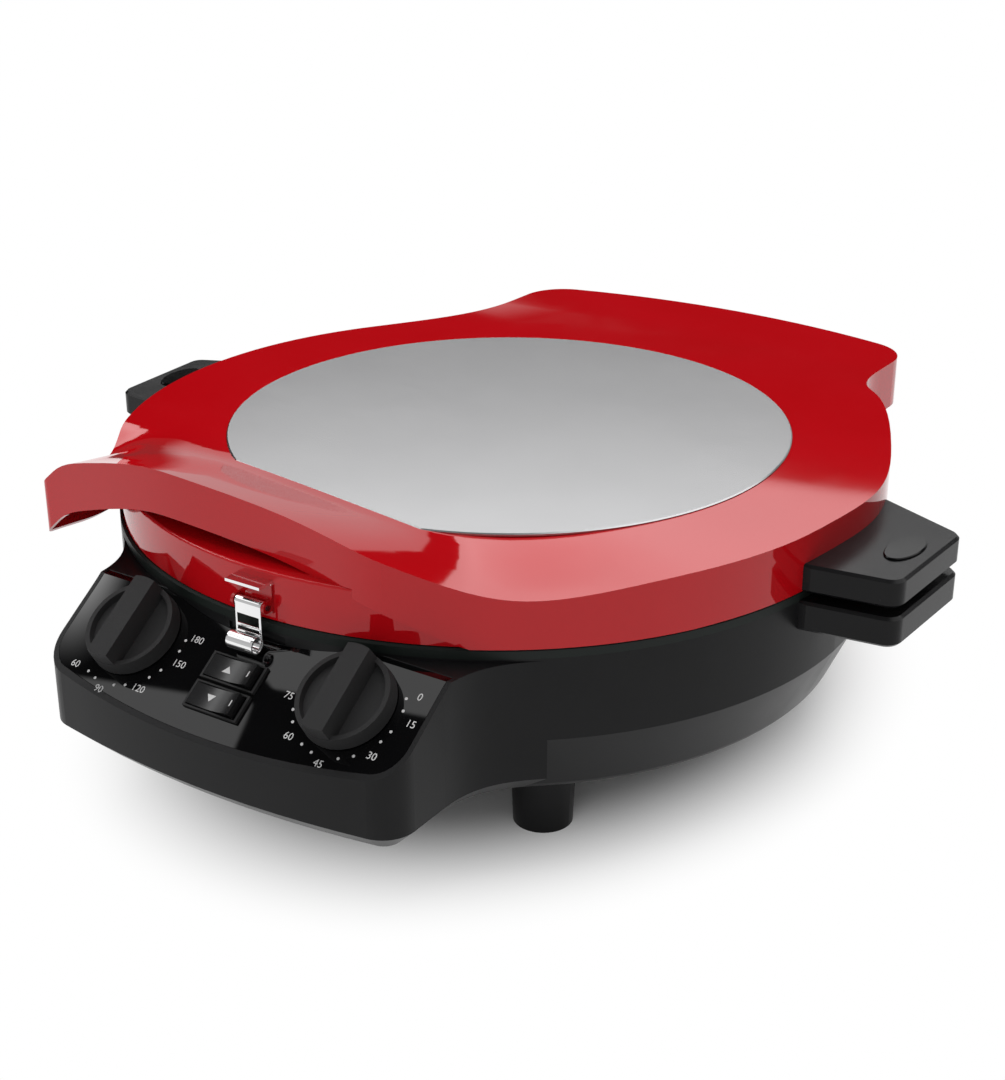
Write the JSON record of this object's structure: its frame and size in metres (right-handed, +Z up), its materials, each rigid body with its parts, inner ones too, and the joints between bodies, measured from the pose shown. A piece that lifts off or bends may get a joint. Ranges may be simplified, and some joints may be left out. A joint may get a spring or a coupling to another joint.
{
  "type": "electric pizza maker",
  "caption": "Round countertop pizza maker: black base with a sloped control panel, hinged red lid with a raised front visor, side handles, latch, knobs, rocker switches and feet.",
  "frame": {"origin": "on the table, under the middle of the whole object's box (11.5 mm in front of the bowl's axis, which is at y = -11.5 mm)", "axes": "+Z up, the control panel faces -Y, the hinge is at +Y, the side handles lie along X"},
  "size_m": [0.4166, 0.439, 0.1448],
  "materials": {
    "black_shell": "satin",
    "black_gloss": "gloss",
    "black_knob": "matte",
    "handle_black": "satin",
    "red_gloss": "gloss",
    "red_shell": "gloss",
    "disc_metal": "satin",
    "seal_rubber": "matte",
    "non_stick": "non-stick coating",
    "heater_steel": "satin",
    "reflector_steel": "bright",
    "steel": "satin",
    "chrome": "polished",
    "white_ink": "printed",
    "inner_plastic": "matte"
  },
  "bodies": {
    "base": {"base_shell": "black_shell", "control_panel": "black_gloss", "thermostat": "inner_plastic", "timer": "inner_plastic", "upper_heat_switch": "black_knob", "lower_heat_switch": "black_knob", "heat_seal": "seal_rubber", "lower_plate": "non_stick", "lower_heater": "heater_steel", "lower_reflector": "reflector_steel", "heater_clips": "steel", "feet": "black_shell", "foot_screws": "steel", "cord_gland": "black_knob", "lower_handle_right": "handle_black", "lower_handle_left": "handle_black", "handle_screws": "steel", "base_hinge": "black_shell", "hinge_pin": "steel"},
    "lid": {"lid_shell": "red_shell", "lid_cover": "red_gloss", "lid_disc": "disc_metal", "upper_plate": "non_stick", "plate_screws": "steel", "upper_heater": "heater_steel", "upper_reflector": "reflector_steel", "reflector_spacers": "steel", "upper_handle_right": "handle_black", "upper_handle_left": "handle_black", "handle_pads": "black_gloss", "lid_hinge": "black_shell", "latch_bracket": "chrome", "latch_pin": "chrome"},
    "latch": {"latch_clip": "chrome"},
    "temperature_dial": {"temperature_knob": "black_knob", "temperature_shaft": "steel"},
    "timer_dial": {"timer_knob": "black_knob", "timer_shaft": "steel"},
    "upper_heat": {"upper_heat_rocker": "black_gloss"},
    "lower_heat": {"lower_heat_rocker": "black_gloss"}
  },
  "joints": [
    {"name": "lid_hinge_joint", "type": "hinge", "parent": "base", "child": "lid", "pos_m": [0, 0.1655, 0.0974], "axis": [-1, 0, 0], "range_deg": [0, 95]},
    {"name": "latch_swing", "type": "hinge", "parent": "lid", "child": "latch", "pos_m": [0, -0.1826, 0.106], "axis": [-1, 0, 0], "range_deg": [0, 75]},
    {"name": "temperature_turn", "type": "hinge", "parent": "base", "child": "temperature_dial", "pos_m": [-0.0535, -0.1915, 0.0823], "axis": [0, -0.5736, 0.8192], "range_deg": [0, 110]},
    {"name": "timer_turn", "type": "hinge", "parent": "base", "child": "timer_dial", "pos_m": [0.0535, -0.1915, 0.0823], "axis": [0, 0.5736, -0.8192], "range_deg": [-123, 82]},
    {"name": "upper_heat_rock", "type": "hinge", "parent": "base", "child": "upper_heat", "pos_m": [0, -0.19338, 0.07976], "axis": [0, 0.8192, 0.5736], "range_deg": [0, 14]},
    {"name": "lower_heat_rock", "type": "hinge", "parent": "base", "child": "lower_heat", "pos_m": [0, -0.2042, 0.07219], "axis": [0, 0.8192, 0.5736], "range_deg": [0, 14]}
  ]
}
